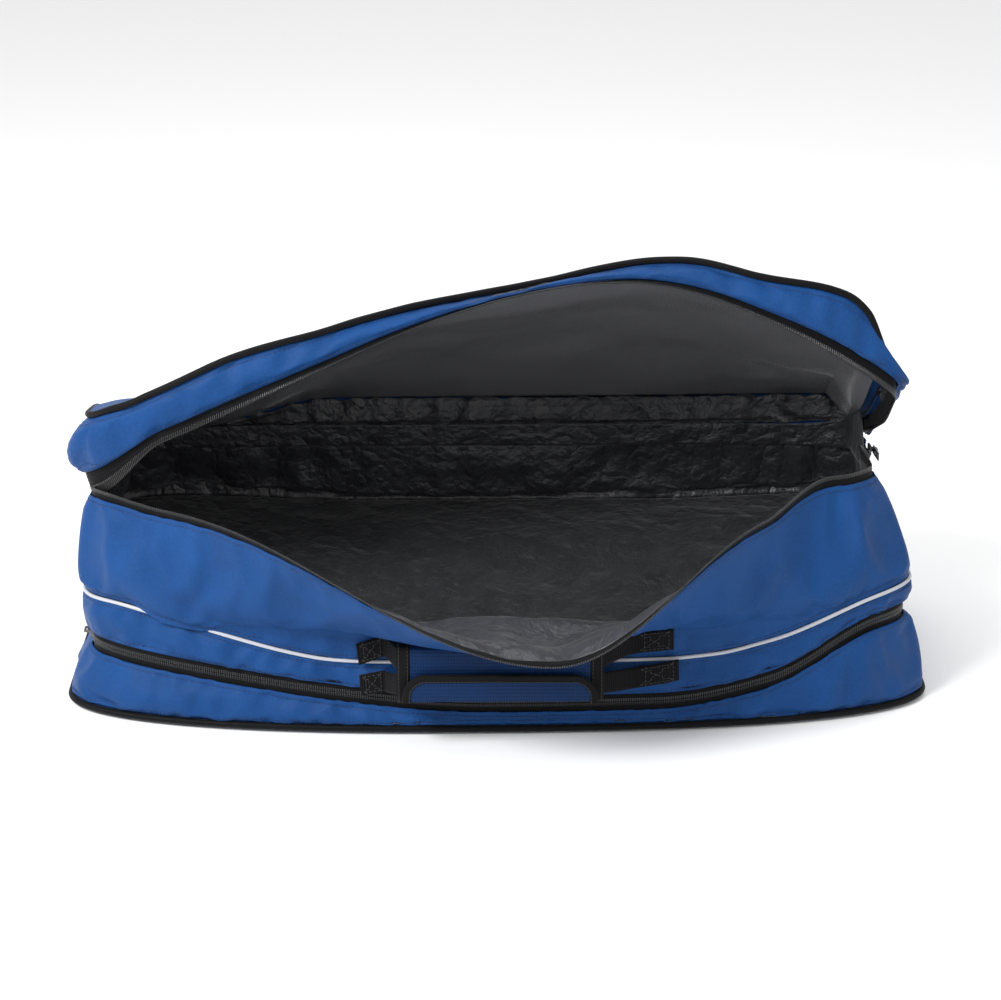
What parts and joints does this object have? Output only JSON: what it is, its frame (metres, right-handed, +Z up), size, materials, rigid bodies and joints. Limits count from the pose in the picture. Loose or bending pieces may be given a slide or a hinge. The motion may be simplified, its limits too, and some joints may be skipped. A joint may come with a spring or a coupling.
{
  "type": "racket tournament bag",
  "caption": "Soft two-compartment racket kit bag lying on its back panel, upper compartment unzipped with the lid raised, wrapped carry handle on the front.",
  "frame": {"origin": "centre of the back panel's resting face, on the floor", "axes": "+X along the bag, -Y towards the carry handle, +Z up through both compartments"},
  "size_m": [0.782, 0.4404, 0.4214],
  "materials": {
    "cloth_blue": "woven royal blue polyester, matt",
    "piping_black": "black piping cord",
    "piping_white": "white reflective piping, satin",
    "tape": "black woven zip tape",
    "coil": "black nylon coil",
    "lining_grey": "dark grey satin lining",
    "lining_foil": "dark laminated foil lining, glossy",
    "webbing_black": "black ribbed webbing",
    "grip_mesh": "blue fine-ribbed mesh",
    "binding_black": "black grosgrain binding",
    "hook_black": "hook tape",
    "loop_black": "loop tape",
    "slider_metal": "gunmetal plated zinc"
  },
  "bodies": {
    "lower_body": {"base_panel": "cloth_blue", "base_piping": "piping_black", "lower_wall": "cloth_blue", "lower_lining": "lining_grey", "lower_zip_tape_bottom": "tape", "lower_zip_coil_bottom": "coil"},
    "upper_body": {"middle_wall": "cloth_blue", "middle_lining": "lining_grey", "lower_zip_tape_top": "tape", "lower_zip_coil_top": "coil", "white_piping": "piping_white", "divider_panel": "lining_grey", "upper_wall": "cloth_blue", "upper_lining": "lining_grey", "upper_zip_tape_left": "tape", "upper_zip_coil_left": "coil", "upper_zip_tape_right": "tape", "upper_zip_coil_right": "coil", "handle_end_upper_left": "webbing_black", "handle_end_upper_right": "webbing_black", "handle_end_lower_left": "webbing_black", "handle_end_lower_right": "webbing_black"},
    "lid_body": {"lid_panel": "cloth_blue", "lid_piping": "piping_black", "lid_wall": "cloth_blue", "lid_zip_tape": "tape", "lid_zip_coil": "coil", "lid_wall_lining": "lining_grey", "lid_foil_lining": "lining_foil"},
    "front_wall_body": {"front_wall": "cloth_blue", "front_wall_lining": "lining_grey", "front_zip_tape": "tape", "front_zip_coil": "coil"},
    "handle_body": {"handle_webbing_upper": "webbing_black", "handle_webbing_lower": "webbing_black", "grip_pad": "grip_mesh", "grip_binding_left": "binding_black", "grip_binding_right": "binding_black", "hook_strip": "hook_black"},
    "grip_flap_body": {"grip_flap": "grip_mesh", "grip_flap_binding": "binding_black", "loop_strip": "loop_black"},
    "lower_slider_body": {"lower_slider": "slider_metal"},
    "lower_pull_body": {"lower_pull": "slider_metal"},
    "upper_slider_body": {"upper_slider": "slider_metal"},
    "upper_pull_body": {"upper_pull": "slider_metal"}
  },
  "joints": [
    {"name": "lower_zip_opening", "type": "hinge", "parent": "lower_body", "child": "upper_body", "pos_m": [0, 0.1506, 0.062], "axis": [-1, 0, 0], "range_deg": [0, 60]},
    {"name": "lid_hinge", "type": "hinge", "parent": "upper_body", "child": "lid_body", "pos_m": [0, 0.1506, 0.17], "axis": [-1, 0, 0], "range_deg": [-38.5, 45]},
    {"name": "front_wall_fold", "type": "hinge", "parent": "upper_body", "child": "front_wall_body", "pos_m": [0, -0.1668, 0.098], "axis": [-1, 0, 0], "range_deg": [0, 86]},
    {"name": "handle_pull", "type": "slide", "parent": "upper_body", "child": "handle_body", "axis": [0, -1, 0], "range_m": [0, 0.025]},
    {"name": "grip_flap_hinge", "type": "hinge", "parent": "handle_body", "child": "grip_flap_body", "pos_m": [0, -0.2058, 0.048], "axis": [1, 0, 0], "range_deg": [0, 110]},
    {"name": "lower_slider_run", "type": "slide", "parent": "lower_body", "child": "lower_slider_body", "axis": [0, 1, 0], "range_m": [0, 0.135]},
    {"name": "lower_pull_swing", "type": "hinge", "parent": "lower_slider_body", "child": "lower_pull_body", "pos_m": [-0.3706, -0.078, 0.06147], "axis": [0, 0, 1], "range_deg": [0, 150]},
    {"name": "upper_slider_run", "type": "slide", "parent": "upper_body", "child": "upper_slider_body", "axis": [0, 0.994, -0.109], "range_m": [-0.12, 0.006]},
    {"name": "upper_pull_swing", "type": "hinge", "parent": "upper_slider_body", "child": "upper_pull_body", "pos_m": [0.3566, 0.058, 0.17998], "axis": [0, 0.109, 0.994], "range_deg": [0, 150]}
  ]
}
